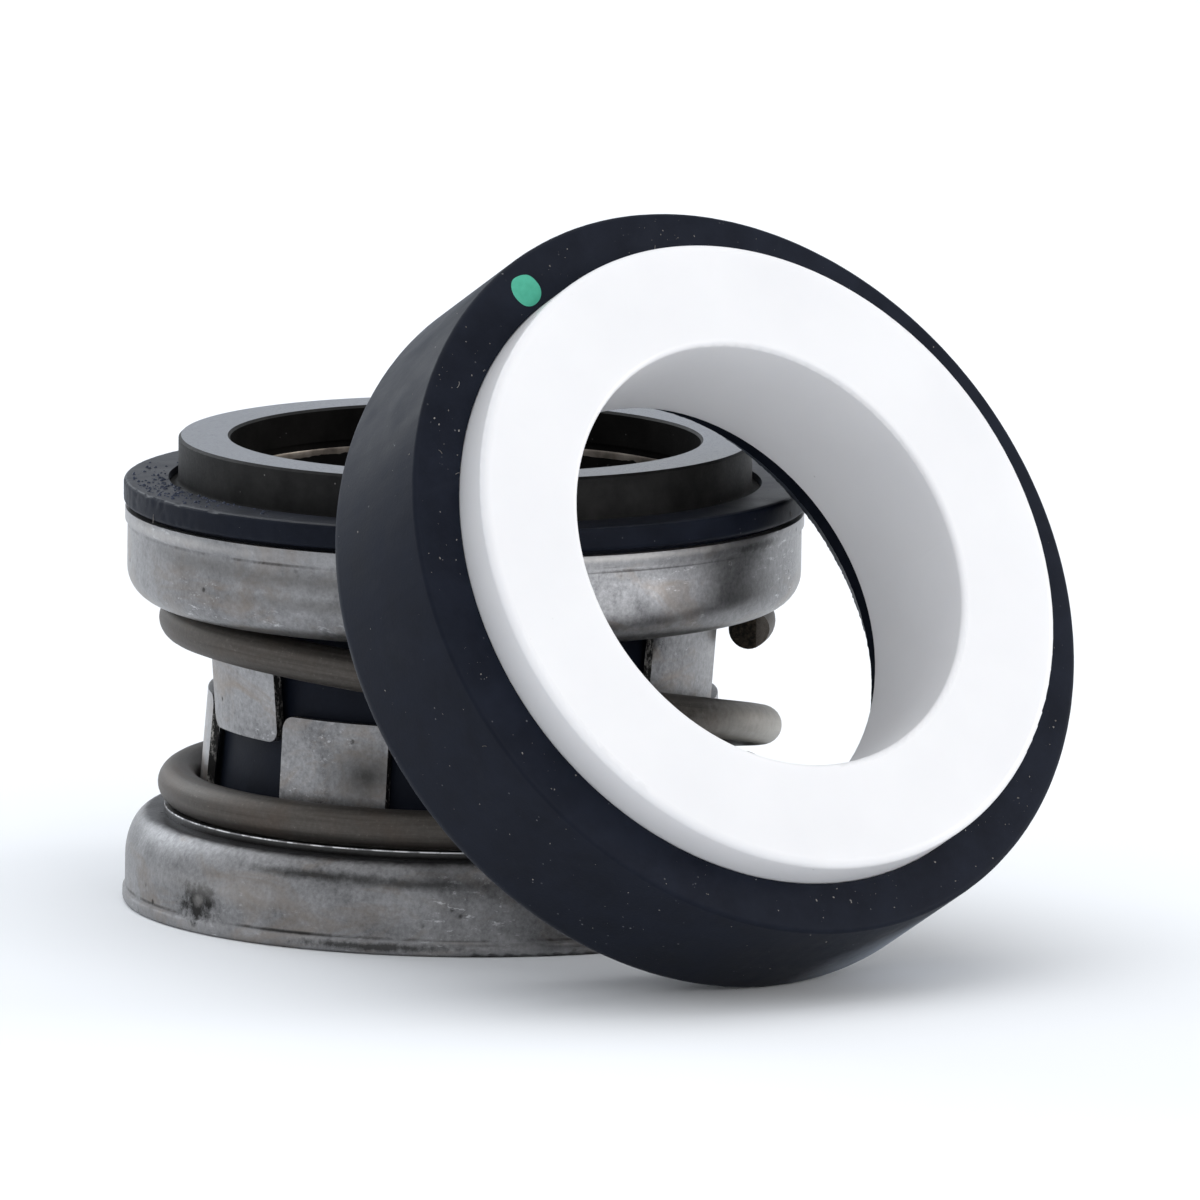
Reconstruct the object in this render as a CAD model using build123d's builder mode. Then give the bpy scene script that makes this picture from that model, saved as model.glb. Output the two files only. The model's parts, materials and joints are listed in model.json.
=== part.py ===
from build123d import *
import math
import os

# Component mechanical seal for a 1 inch shaft: an elastomer bellows rotary head standing on its
# base, and its stationary seat leaning against it. Millimetres, +Z up along the head's axis, and
# the origin at the middle of the head's base.

# ---- shaft, height and travel ---------------------------------------------------------------
SHAFT_D = 25.4            # shaft that the seal is made for
FREE_HEIGHT = 28.4        # head height with the spring relaxed
TRAVEL = 5.0              # how far the spring lets the running face move down

# ---- head, from the shaft outwards ----------------------------------------------------------
GRIP_BITE = 0.15          # how much smaller in radius the bellows tail is than the shaft
BELLOWS_ROOM = 0.9        # room between the shaft and the bellows wall
BELLOWS_WALL = 1.5
TAB_ROOM = 0.35           # room between the bellows wall and the roots of the tabs
COIL_ROOM = 0.1           # room between the tabs and the nearest wire
SHELL_COVER = 1.05        # how far the shells reach past the farthest wire
FLANGE_COVER = 0.25       # how far the rubber flange reaches past the shells' walls
FIT_GAP = 0.05            # room round pieces that are held without a press fit

# ---- steel shells ---------------------------------------------------------------------------
SHEET = 0.5               # thickness of the shells and of the retainer's tabs
RIM_STEP = 0.15           # how far each shell's rim band stands out from its wall
RIM_H = 0.9               # height of a rim band
RIM_EDGE = 0.3            # rounding of the holder's lower rim
HOLDER_H = 5.5            # height of the spring holder
HOLDER_ROUND_R = 1.6      # holder's shoulder, measured along the radius
HOLDER_ROUND_Z = 2.9      # holder's shoulder, measured along the axis
HOLDER_ROOM = 0.2         # room between the holder's inner edge and the bellows
RETAINER_ROUND = 2.0      # outer corner radius of the retainer's cup

# ---- drive band and tabs --------------------------------------------------------------------
BAND_SHEET = 0.45         # thickness of the drive band
BAND_INSET = 0.75         # how far the band's flange stops short of the holder's shoulder
TAB_BEND = 0.6            # bend radius where a tab leaves its plate
TAB_FOOT = 0.2            # flat length of a tab beyond its bend, inside its plate
TAB_GAP = 0.35            # gap between neighbouring tabs
BAND_TAB_TRIM = 0.25      # how much narrower the band's tabs are than the retainer's
TAB_CORNER = 0.8          # rounding of each tab's free corners
TAB_LEAN = 4.5            # how far the tabs lean in towards the bellows, in degrees
BAND_TAB_ROOM = 0.5       # room between the band's tabs and the retainer at full travel
RETAINER_TAB_ROOM = 0.3   # room between the retainer's tabs and the band at full travel
PLATE_ROOM = 0.25         # room between the band's tabs and the hole in the retainer's plate
TAB_COUNT = 3             # tabs on the retainer; the band has twice as many

# ---- spring ---------------------------------------------------------------------------------
WIRE_D = 2.4
COIL_SIDE = 0.45          # how far the loose coil lies to one side
COIL_LIFT = 0.03          # room between the wire and the faces that it bears on
COIL_START = -10.0        # angle of the wire's upper end
COIL_TUCK = 0.7           # how far the wire's upper end is tucked in
COIL_TUCK_SPAN = 60.0     # angle over which it is tucked in
COIL_END = 740.0          # angle of the wire's lower end
COIL_FALL_FROM = 203.0    # angle where the upper closed turn starts to fall
COIL_FALL_TO = 474.0      # angle where the lower closed turn is reached
COIL_STEP = 15.0          # angle between the path's points

# ---- primary ring (carbon) ------------------------------------------------------------------
RING_ROOM = 1.54          # room between the shaft and the ring's bore
RING_H = 6.8
NOSE_SHOULDER = 0.94      # how much smaller in radius the nose is than the ring's body
NOSE_STAND = 2.55         # height of the nose above the rubber flange
NOSE_FILLET = 0.5
FACE_CHAMFER = 0.15
BORE_GROOVE_DEPTH = 0.2
BORE_GROOVE_W = 0.45
BORE_GROOVE_DOWN = 2.05   # from the running face to the groove

# ---- bellows (rubber) -----------------------------------------------------------------------
FLANGE_T = 1.5            # thickness of the rubber flange on the retainer's rim
FLANGE_GAP = 0.25         # slit between the rubber flange and the steel rim
FLANGE_EDGE = 0.3         # rounding of the flange's outer edges
LIP_ROOM = 0.59           # room between the carbon nose and the rubber round it
POCKET_WALL = 1.5         # rubber between the primary ring and the retainer
POCKET_FLOOR = 2.55       # rubber between the primary ring and the retainer's plate
FOLD_DEPTH = 0.5          # how far the wall's fold draws in
GRIP_L = 7.0              # length of the tail's grip on the shaft
GRIP_LEAD = 1.0           # height of the cone from the grip to the wall

# ---- stationary seat ------------------------------------------------------------------------
SEAT_ROOM = 0.65          # room between the shaft and the ceramic's bore
SEAT_WALL = 6.5           # wall of the ceramic ring
SEAT_L = 10.0             # length of the ceramic ring
SEAT_STAND = 2.75         # how far the ceramic stands out of the rubber cup
SEAT_EDGE = 0.5           # rounding of the ceramic's outer front edge
SEAT_BORE_EDGE = 0.35     # rounding of the ceramic's front bore edge
CUP_WALL = 3.07           # rubber round the ceramic
CUP_WEB = 4.85            # rubber behind the ceramic
CUP_BORE_ROOM = 1.25      # how much larger in radius the rubber's bore is than the ceramic's
CUP_FLARE = 1.78          # how much the rubber's bore opens at the back
CUP_FLARE_L = 2.43        # length of that opening
CUP_LEAD = 2.44           # 45 degree lead-in at the cup's back
CUP_LEAD_EDGE = 1.2       # rounding between the cup's side and the lead-in
CUP_EDGE = 0.3            # rounding of the cup's front edge

# ---- how the seat leans ---------------------------------------------------------------------
LEAN = 29.4               # how far the seat's face looks up
TURN = 36.0               # how far its face turns from -Y towards +X
SIDE_SHIFT = -1.72        # sideways offset of the seat from the head's axis
REST_GAP = 0.05           # room left between the seat and the head's flange

# ---- radii that follow, from the shaft outwards ---------------------------------------------
shaft_r = SHAFT_D / 2
grip_r = shaft_r - GRIP_BITE
bellows_inner_r = shaft_r + BELLOWS_ROOM
bellows_r = bellows_inner_r + BELLOWS_WALL
tab_inner_r = bellows_r + TAB_ROOM
tab_r = tab_inner_r + SHEET
band_inner_r = tab_r - BAND_SHEET
bend_r = tab_r + TAB_BEND
foot_r = bend_r + TAB_FOOT
plate_hole_r = tab_r + PLATE_ROOM
coil_r = tab_r + COIL_SIDE + COIL_ROOM + WIRE_D / 2
shell_r = coil_r + COIL_SIDE + WIRE_D / 2 + SHELL_COVER
shell_inner_r = shell_r - SHEET
rim_r = shell_r + RIM_STEP
head_r = shell_r + FLANGE_COVER
holder_flat_r = shell_r - HOLDER_ROUND_R
band_flange_r = holder_flat_r - BAND_INSET
skirt_r = shell_inner_r - FIT_GAP
pocket_r = skirt_r - POCKET_WALL
ring_body_r = pocket_r - FIT_GAP
nose_r = ring_body_r - NOSE_SHOULDER
nose_bore_r = shaft_r + RING_ROOM
rubber_lip_r = nose_r + LIP_ROOM
seat_bore_r = shaft_r + SEAT_ROOM
seat_r = seat_bore_r + SEAT_WALL
cup_inner_r = seat_r + FIT_GAP
cup_r = cup_inner_r + CUP_WALL
cup_bore_r = seat_bore_r + CUP_BORE_ROOM
cup_mouth_r = cup_bore_r + CUP_FLARE

# ---- heights that follow --------------------------------------------------------------------
flange_top = FREE_HEIGHT - NOSE_STAND
flange_bottom = flange_top - FLANGE_T
rim_top = flange_bottom - FLANGE_GAP
ring_bottom = FREE_HEIGHT - RING_H
plate_top = ring_bottom - POCKET_FLOOR - FIT_GAP
plate_bottom = plate_top - SHEET
band_top = HOLDER_H + BAND_SHEET
band_tab_top = plate_bottom - TRAVEL - BAND_TAB_ROOM
retainer_tab_end = band_top + TRAVEL + RETAINER_TAB_ROOM
coil_top_z = plate_bottom - WIRE_D / 2 - COIL_LIFT
coil_bottom_z = band_top + WIRE_D / 2 + COIL_LIFT

# ---- tabs: the retainer's hang in every other gap between the band's ------------------------
tab_step = 180.0 / TAB_COUNT
tab_slope = math.tan(math.radians(TAB_LEAN))
tab_width = 2 * tab_inner_r * math.sin(math.radians(tab_step / 4)) - TAB_GAP

os.makedirs("parts", exist_ok=True)


def radial_plane(angle):
    """A plane that faces outwards at an angle round the axis, with its y along +Z."""
    a = math.radians(angle)
    return Plane(origin=(0, 0, 0), x_dir=(-math.sin(a), math.cos(a), 0), z_dir=(math.cos(a), math.sin(a), 0))


def tab_angles(count, first):
    """Evenly spaced angles, counted from the front (-Y)."""
    return [-90.0 + first + 360.0 / count * i for i in range(count)]


# ---- spring holder: the lower steel shell ---------------------------------------------------
with BuildPart() as spring_holder:
    shoulder_z = HOLDER_H - HOLDER_ROUND_Z
    holder_hole_r = bellows_r + HOLDER_ROOM
    with BuildSketch(Plane.XZ):
        with BuildLine():
            Polyline((holder_hole_r, HOLDER_H - SHEET), (holder_hole_r, HOLDER_H), (holder_flat_r, HOLDER_H))
            EllipticalCenterArc((holder_flat_r, shoulder_z), HOLDER_ROUND_R, HOLDER_ROUND_Z, arc_size=90)
            Polyline((shell_r, shoulder_z), (shell_r, RIM_H), (rim_r, RIM_H - RIM_STEP), (rim_r, RIM_EDGE))
            CenterArc((rim_r - RIM_EDGE, RIM_EDGE), RIM_EDGE, -90, 90)
            Polyline((rim_r - RIM_EDGE, 0), (shell_inner_r, 0), (shell_inner_r, shoulder_z))
            EllipticalCenterArc((holder_flat_r, shoulder_z), HOLDER_ROUND_R - SHEET, HOLDER_ROUND_Z - SHEET,
                                arc_size=90)
            Line((holder_flat_r, HOLDER_H - SHEET), (holder_hole_r, HOLDER_H - SHEET))
        make_face()
    revolve(axis=Axis.Z)

# ---- drive band: a flat ring with six tabs bent up from its inner edge ----------------------
with BuildPart() as band_windows:
    for angle in tab_angles(2 * TAB_COUNT, tab_step / 2):
        with BuildSketch(radial_plane(angle)):
            with Locations((0, band_tab_top / 2)):
                RectangleRounded(tab_width - BAND_TAB_TRIM, band_tab_top, TAB_CORNER)
        extrude(amount=band_flange_r)

with BuildPart() as band_tabs:
    band_bend_z = band_top + TAB_BEND
    band_lean = tab_slope * (plate_bottom - band_bend_z)
    with BuildSketch(Plane.XZ):
        with BuildLine():
            Line((foot_r, band_top), (bend_r, band_top))
            CenterArc((bend_r, band_bend_z), TAB_BEND, 180, 90)
            Polyline((tab_r, band_bend_z), (tab_r - band_lean, plate_bottom),
                     (band_inner_r - band_lean, plate_bottom), (band_inner_r, band_bend_z))
            CenterArc((bend_r, band_bend_z), TAB_BEND + BAND_SHEET, 180, 90)
            Polyline((bend_r, HOLDER_H), (foot_r, HOLDER_H), (foot_r, band_top))
        make_face()
    revolve(axis=Axis.Z)
    add(band_windows.part, mode=Mode.INTERSECT)

with BuildPart() as drive_band:
    with BuildSketch(Plane.XY.offset(HOLDER_H)):
        Circle(band_flange_r)
        Circle(bend_r, mode=Mode.SUBTRACT)
    extrude(amount=BAND_SHEET)
    add(band_tabs.part)

# ---- retainer: the upper steel shell with three tabs hanging from its plate -----------------
with BuildPart() as retainer_windows:
    for angle in tab_angles(TAB_COUNT, tab_step):
        with BuildSketch(radial_plane(angle)):
            with Locations((0, (retainer_tab_end + rim_top) / 2)):
                RectangleRounded(tab_width, rim_top - retainer_tab_end, TAB_CORNER)
        extrude(amount=shell_r)

with BuildPart() as retainer_tabs:
    retainer_bend_z = plate_bottom - TAB_BEND
    retainer_lean = tab_slope * (retainer_bend_z - band_top)
    with BuildSketch(Plane.XZ):
        with BuildLine():
            Line((foot_r, plate_bottom), (bend_r, plate_bottom))
            CenterArc((bend_r, retainer_bend_z), TAB_BEND, 90, 90)
            Polyline((tab_r, retainer_bend_z), (tab_r - retainer_lean, band_top),
                     (tab_inner_r - retainer_lean, band_top), (tab_inner_r, retainer_bend_z))
            CenterArc((bend_r, retainer_bend_z), TAB_BEND + SHEET, 90, 90)
            Polyline((bend_r, plate_top), (foot_r, plate_top), (foot_r, plate_bottom))
        make_face()
    revolve(axis=Axis.Z)
    add(retainer_windows.part, mode=Mode.INTERSECT)

with BuildPart() as retainer:
    corner_r = shell_r - RETAINER_ROUND
    corner_z = plate_bottom + RETAINER_ROUND
    with BuildSketch(Plane.XZ):
        with BuildLine():
            Polyline((plate_hole_r, plate_top), (plate_hole_r, plate_bottom), (corner_r, plate_bottom))
            CenterArc((corner_r, corner_z), RETAINER_ROUND, -90, 90)
            Polyline((shell_r, corner_z), (shell_r, rim_top - RIM_H), (rim_r, rim_top - RIM_H + RIM_STEP),
                     (rim_r, rim_top), (shell_inner_r, rim_top), (shell_inner_r, corner_z))
            CenterArc((corner_r, corner_z), RETAINER_ROUND - SHEET, -90, 90)
            Line((corner_r, plate_top), (plate_hole_r, plate_top))
        make_face()
    revolve(axis=Axis.Z)
    add(retainer_tabs.part)

# ---- coil spring: one left-hand coil with closed, sheared ends ------------------------------


def coil_point(angle):
    """A point of the wire's centre line; the turns fall smoothly between the closed ends."""
    share = min(max((angle - COIL_FALL_FROM) / (COIL_FALL_TO - COIL_FALL_FROM), 0.0), 1.0)
    z = coil_top_z - (coil_top_z - coil_bottom_z) * (1 - math.cos(math.pi * share)) / 2
    tuck = max(1 - (angle - COIL_START) / COIL_TUCK_SPAN, 0.0)
    r = coil_r - COIL_TUCK * tuck ** 2
    a = math.radians(angle)
    return (COIL_SIDE + r * math.cos(a), r * math.sin(a), z)


coil_count = round((COIL_END - COIL_START) / COIL_STEP)
coil_angles = [COIL_START + (COIL_END - COIL_START) * i / coil_count for i in range(coil_count + 1)]
with BuildPart() as coil_spring:
    with BuildLine() as coil_path:
        Spline([coil_point(a) for a in coil_angles])
    with BuildSketch(Plane(origin=coil_path.line @ 0, z_dir=coil_path.line % 0)):
        Circle(WIRE_D / 2)
    sweep(is_frenet=True)

# ---- primary ring: carbon, with the running face on its nose --------------------------------
with BuildPart() as primary_ring:
    body_top = flange_top - NOSE_FILLET
    groove_top = FREE_HEIGHT - BORE_GROOVE_DOWN
    groove_bottom = groove_top - BORE_GROOVE_W
    groove_r = nose_bore_r + BORE_GROOVE_DEPTH
    with BuildSketch(Plane.XZ):
        with BuildLine():
            Polyline((nose_bore_r, ring_bottom), (ring_body_r, ring_bottom), (ring_body_r, body_top),
                     (nose_r + NOSE_FILLET, body_top))
            CenterArc((nose_r + NOSE_FILLET, body_top + NOSE_FILLET), NOSE_FILLET, 180, 90)
            Polyline((nose_r, body_top + NOSE_FILLET), (nose_r, FREE_HEIGHT - FACE_CHAMFER),
                     (nose_r - FACE_CHAMFER, FREE_HEIGHT), (nose_bore_r + FACE_CHAMFER, FREE_HEIGHT),
                     (nose_bore_r, FREE_HEIGHT - FACE_CHAMFER), (nose_bore_r, groove_top),
                     (groove_r, groove_top), (groove_r, groove_bottom), (nose_bore_r, groove_bottom),
                     (nose_bore_r, ring_bottom))
        make_face()
    revolve(axis=Axis.Z)

# ---- bellows: tail, folded wall, head with its pocket and flange, all one rubber moulding ---
with BuildPart() as bellows:
    tail_top = HOLDER_H - SHEET - FIT_GAP
    tail_round = HOLDER_ROUND_Z - SHEET
    head_round = RETAINER_ROUND - SHEET + FIT_GAP
    head_bottom = plate_top + FIT_GAP
    fold_z = (GRIP_L + plate_top) / 2
    pocket_top = body_top + FIT_GAP
    with BuildSketch(Plane.XZ):
        with BuildLine():
            Polyline((grip_r, GRIP_L), (grip_r, 0), (skirt_r, 0), (skirt_r, tail_top - tail_round),
                     (skirt_r - tail_round, tail_top), (bellows_r, tail_top), (bellows_r, GRIP_L))
            ThreePointArc((bellows_r, GRIP_L), (bellows_r - FOLD_DEPTH, fold_z), (bellows_r, plate_top))
            Polyline((bellows_r, plate_top), (bellows_r, head_bottom), (skirt_r - head_round, head_bottom))
            CenterArc((skirt_r - head_round, head_bottom + head_round), head_round, -90, 90)
            Polyline((skirt_r, head_bottom + head_round), (skirt_r, flange_bottom),
                     (head_r - FLANGE_EDGE, flange_bottom))
            CenterArc((head_r - FLANGE_EDGE, flange_bottom + FLANGE_EDGE), FLANGE_EDGE, -90, 90)
            Line((head_r, flange_bottom + FLANGE_EDGE), (head_r, flange_top - FLANGE_EDGE))
            CenterArc((head_r - FLANGE_EDGE, flange_top - FLANGE_EDGE), FLANGE_EDGE, 0, 90)
            Polyline((head_r - FLANGE_EDGE, flange_top), (rubber_lip_r, flange_top),
                     (rubber_lip_r, pocket_top), (pocket_r, pocket_top), (pocket_r, ring_bottom),
                     (bellows_inner_r, ring_bottom), (bellows_inner_r, plate_top))
            ThreePointArc((bellows_inner_r, plate_top), (bellows_inner_r - FOLD_DEPTH, fold_z),
                          (bellows_inner_r, GRIP_L + GRIP_LEAD))
            Line((bellows_inner_r, GRIP_L + GRIP_LEAD), (grip_r, GRIP_L))
        make_face()
    revolve(axis=Axis.Z)

# ---- where the seat rests: its lead-in's edge on the floor, its back bore edge on the flange -
seat_depth = SEAT_L + CUP_WEB
lead_share = math.sin(math.radians(45))
lead_r = cup_r - CUP_LEAD_EDGE
lead_depth = seat_depth - CUP_LEAD - CUP_LEAD_EDGE * lead_share
cup_back_r = lead_r + CUP_LEAD_EDGE * lead_share - CUP_LEAD
lean_sin = math.sin(math.radians(LEAN))
lean_cos = math.cos(math.radians(LEAN))
turn_sin = math.sin(math.radians(TURN))
turn_cos = math.cos(math.radians(TURN))
seat_z = lead_r * lean_cos + lead_depth * lean_sin + CUP_LEAD_EDGE
back_z = seat_z - seat_depth * lean_sin
touch_up = (flange_top - back_z) / lean_cos
touch_side = math.sqrt(cup_mouth_r ** 2 - touch_up ** 2) - abs(SIDE_SHIFT)
touch_out = math.sqrt((head_r + REST_GAP) ** 2 - touch_side ** 2)
seat_out = touch_out + touch_up * lean_sin + seat_depth * lean_cos
seat_x = seat_out * turn_sin + SIDE_SHIFT * turn_cos
seat_y = SIDE_SHIFT * turn_sin - seat_out * turn_cos
seat_origin = (seat_x, seat_y, seat_z)
seat_axis = (turn_sin * lean_cos, -turn_cos * lean_cos, lean_sin)
seat_plane = Plane(origin=seat_origin, x_dir=(turn_cos, turn_sin, 0), z_dir=seat_axis)
seat_section = Plane(origin=seat_origin, x_dir=(turn_cos, turn_sin, 0), z_dir=seat_plane.y_dir * -1)
seat_line = Axis(seat_origin, seat_axis)

# ---- seat ring: ceramic, its face at the seat plane and its body behind ---------------------
with BuildPart() as seat_ring:
    with BuildSketch(seat_section):
        with BuildLine():
            Polyline((seat_bore_r, -SEAT_BORE_EDGE), (seat_bore_r, -SEAT_L), (seat_r, -SEAT_L),
                     (seat_r, -SEAT_EDGE))
            CenterArc((seat_r - SEAT_EDGE, -SEAT_EDGE), SEAT_EDGE, 0, 90)
            Line((seat_r - SEAT_EDGE, 0), (seat_bore_r + SEAT_BORE_EDGE, 0))
            CenterArc((seat_bore_r + SEAT_BORE_EDGE, -SEAT_BORE_EDGE), SEAT_BORE_EDGE, 90, 90)
        make_face()
    revolve(axis=seat_line)

# ---- cup gasket: the rubber cup that carries the ceramic ------------------------------------
with BuildPart() as cup_gasket:
    with BuildSketch(seat_section):
        with BuildLine():
            Polyline((cup_bore_r, -SEAT_L), (cup_bore_r, CUP_FLARE_L - seat_depth),
                     (cup_mouth_r, -seat_depth), (cup_back_r, -seat_depth),
                     (cup_back_r + CUP_LEAD, CUP_LEAD - seat_depth))
            CenterArc((lead_r, -lead_depth), CUP_LEAD_EDGE, -45, 45)
            Line((cup_r, -lead_depth), (cup_r, -SEAT_STAND - CUP_EDGE))
            CenterArc((cup_r - CUP_EDGE, -SEAT_STAND - CUP_EDGE), CUP_EDGE, 0, 90)
            Polyline((cup_r - CUP_EDGE, -SEAT_STAND), (cup_inner_r, -SEAT_STAND), (cup_inner_r, -SEAT_L),
                     (cup_bore_r, -SEAT_L))
        make_face()
    revolve(axis=seat_line)

sub_parts = {
    "spring_holder": spring_holder,
    "drive_band": drive_band,
    "retainer": retainer,
    "coil_spring": coil_spring,
    "primary_ring": primary_ring,
    "bellows": bellows,
    "seat_ring": seat_ring,
    "cup_gasket": cup_gasket,
}
for name, sub_part in sub_parts.items():
    sub_part.part.label = name
    export_step(sub_part.part, f"parts/{name}.step")

print("seat origin", [round(v, 3) for v in seat_origin], "axis", [round(v, 5) for v in seat_axis])
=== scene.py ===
import bpy
import json
import math
import random
from mathutils import Matrix, Vector, noise


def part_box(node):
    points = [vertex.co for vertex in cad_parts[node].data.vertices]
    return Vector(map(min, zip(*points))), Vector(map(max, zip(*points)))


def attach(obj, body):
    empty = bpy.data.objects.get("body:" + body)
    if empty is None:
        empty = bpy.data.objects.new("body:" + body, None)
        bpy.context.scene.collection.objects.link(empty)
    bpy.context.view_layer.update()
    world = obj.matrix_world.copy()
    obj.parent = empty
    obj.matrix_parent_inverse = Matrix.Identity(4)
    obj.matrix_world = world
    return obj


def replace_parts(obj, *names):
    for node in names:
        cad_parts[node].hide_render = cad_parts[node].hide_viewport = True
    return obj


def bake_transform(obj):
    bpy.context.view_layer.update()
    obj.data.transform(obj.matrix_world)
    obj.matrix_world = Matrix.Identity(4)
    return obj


# The seal's look: rubber, wire, dust and marks as meshes of their own, procedural materials on
# every piece, a pale floor and soft studio light. Sizes are in millimetres and angles in degrees,
# except for the camera, the lights and the floor, which are placed in metres. An angle in a mark
# is counted from the front (-Y) towards +X.
MM = 0.001
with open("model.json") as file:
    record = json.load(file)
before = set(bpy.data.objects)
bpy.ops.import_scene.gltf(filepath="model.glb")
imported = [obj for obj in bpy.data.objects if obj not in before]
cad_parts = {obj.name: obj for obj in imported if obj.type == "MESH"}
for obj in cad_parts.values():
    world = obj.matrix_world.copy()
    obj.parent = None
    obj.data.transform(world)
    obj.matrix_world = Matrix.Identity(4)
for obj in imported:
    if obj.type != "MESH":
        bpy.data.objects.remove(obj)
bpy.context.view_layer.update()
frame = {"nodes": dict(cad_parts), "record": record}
chance = random.Random(21)

# ---- sizes of the rubber bellows ------------------------------------------------------------
FLANGE_TOP = 25.85        # top of the rubber flange
FLANGE_BOTTOM = 24.35
HEAD_R = 20.65            # outer radius of the flange
FLANGE_EDGE = 0.3         # rounding of its edges
SKIRT_R = 19.85           # radius of the rubber inside the steel shells
BELLOWS_R = 15.1          # outer radius of the bellows wall
BELLOWS_INNER_R = 13.6
GRIP_R = 12.55            # radius of the tail's grip on the shaft
GRIP_TOP = 7.0
GRIP_LEAD = 1.0           # height of the cone from the grip to the wall
FOLD_DEPTH = 0.5          # how far the wall's fold draws in
FOLD_STEPS = 10
PLATE_TOP = 19.0          # top of the retainer's plate
HEAD_BOTTOM = 19.05
HEAD_ROUND = 1.55
TAIL_TOP = 4.95
TAIL_ROUND = 2.4
POCKET_R = 18.35          # radius of the pocket that holds the carbon ring
POCKET_TOP = 25.4
RING_BOTTOM = 21.6
LIP_R = 17.95             # edge of the rubber round the carbon nose
BELLOWS_SEGMENTS = 540
CHIP_DEPTH = 0.04         # how deep the flange's edge is chipped
CHIP_REACH = 1.1          # how far in from the flange's edge the chips go
CHIPPED_SIDE = math.radians(207)    # where the edge is chipped most, counted from +X
CRUMBS = 620              # loose rubber crumbs on the flange
CRUMBS_LEFT = 0.75        # share of them that lie at its left
CRUMB_SIDE = (200, 14)    # angle where those lie, counted from +X, and how far they spread
CRUMB_SIDES = 7
CRUMB_LEVELS = ((0.0, 1.0), (0.55, 0.85), (1.0, 0.4))    # height and spread, as shares of its size
CRUMB_SINK = 0.05         # how deep a crumb's foot is in the flange

# ---- sizes of the spring --------------------------------------------------------------------
WIRE_R = 1.2
COIL_R = 17.7
COIL_SIDE = 0.45          # how far the loose coil lies to one side
COIL_TOP_Z = 17.27
COIL_BOTTOM_Z = 7.18
COIL_START = -10.0        # angle of the wire's upper end
COIL_END = 740.0          # angle of the wire's lower end
COIL_FALL_FROM = 203.0    # angle where the upper closed turn starts to fall
COIL_FALL_TO = 474.0      # angle where the lower closed turn is reached
COIL_TUCK = 0.7           # how far the wire's upper end is tucked in
COIL_TUCK_SPAN = 60.0     # angle over which it is tucked in
COIL_STEP = 2.5
SHEAR_FROM = 0.42         # where the broken part of a sheared end meets the burnished part
SHEAR_SLOPE = 0.9         # how far the burnished part slopes back
SCAR = 0.012              # how uneven the wire is, as a share of its radius
WIRE_SIDES = 28
WIRE_SHARP = 50           # edges of the wire sharper than this angle stay crisp

# ---- sizes of the seat's rubber cup, along the seat's axis from the ceramic face -------------
SEAT_FACE_FROM_MOUNT = 5.175
SEAT_L = 10.0
SEAT_STAND = 2.75         # how far the ceramic stands out of the cup
CUP_INNER_R = 19.9
CUP_R = 22.97
CUP_DEPTH = 14.85
CUP_BORE_R = 14.6
CUP_MOUTH_R = 16.38       # radius of the bore's opening at the back
CUP_FLARE_L = 2.43        # length of that opening
CUP_LEAD = 2.44           # 45 degree lead-in at the back
CUP_LEAD_EDGE = 1.2       # rounding between the cup's side and the lead-in
CUP_EDGE = 0.3            # rounding of the front edge
CUP_SEGMENTS = 900
FLOOR_REFLECTION_FROM_R = 21.0        # the cup's outer side, where the floor's reflection is painted

# ---- carbon ring ----------------------------------------------------------------------------
LAPPED_BELOW = 0.16       # how far below the ring's top the lapped face's edge goes
GROOVE_GLINT_R = 14.22     # the painted glint, a bright ring on the groove's lower lip in its bore
GROOVE_GLINT_Z = 25.93
GROOVE_SEGMENTS = 240

# ---- pressed pieces -------------------------------------------------------------------------
EDGE_WEAR = 0.07          # radius worn on the edges of the sheet
WORN_FROM = 50            # edges sharper than this angle are worn
WELD_GAP = 0.002          # points nearer than this become one before the edges are worn
UNROLLED_R = 20.5         # radius at which the shells' walls are unrolled for marks along them

# ---- green paint dot on the cup's face -------------------------------------------------------
DOT_ANGLE = math.radians(117.5)     # counted from the seat's own +X
DOT_R = 21.15             # how far from the seat's axis it lies
DOT_SIZE = 1.05
DOT_THICK = 0.09
DOT_RINGS = 6
DOT_SIDES = 40

# ---- dust and lint --------------------------------------------------------------------------
CUP_SPECKS = 360
NEST = 3                  # specks that lie near each other on the cup
NEST_SPREAD = 0.05        # how far they spread round it, in radians
CUP_FACE_SHARE = 0.6      # share of the nests that lie on the cup's face, not its side
CUP_FIBRES = 0.03         # share of the cup's specks that are lint fibres
FLANGE_SPECKS = 90
FLANGE_FIBRES = 0.04
FLAKE_SIDES = 5
FIBRE_HALF = 0.018        # half a lint fibre's width
FIBRE_STEPS = 8
LIFTED = 0.004            # how far dust lies above its surface

# ---- shared ---------------------------------------------------------------------------------
ARC_STEPS = 6
SHARP = 32                # edges of rubber sharper than this angle stay crisp
UP = Vector((0, 0, 1))


def around(r, a, z=0.0):
    """A point at a radius, an angle in radians from +X and a height."""
    return Vector((r * math.cos(a), r * math.sin(a), z))


def arc(cx, cz, r, start, turn):
    """Points on an arc, in order, from start through turn degrees."""
    angles = [math.radians(start + turn * i / ARC_STEPS) for i in range(ARC_STEPS + 1)]
    return [(cx + r * math.cos(a), cz + r * math.sin(a)) for a in angles]


def along(a, b, count):
    """Points between a and b, without the ends."""
    return [(a[0] + (b[0] - a[0]) * i / count, a[1] + (b[1] - a[1]) * i / count)
            for i in range(1, count)]


def mesh_object(name, points, faces, smooth=True):
    """A mesh object from points in millimetres."""
    mesh = bpy.data.meshes.new(name)
    mesh.from_pydata([Vector(p) * MM for p in points], [], faces)
    mesh.validate()
    for polygon in mesh.polygons:
        polygon.use_smooth = smooth
    obj = bpy.data.objects.new(name, mesh)
    bpy.context.scene.collection.objects.link(obj)
    return obj


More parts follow.
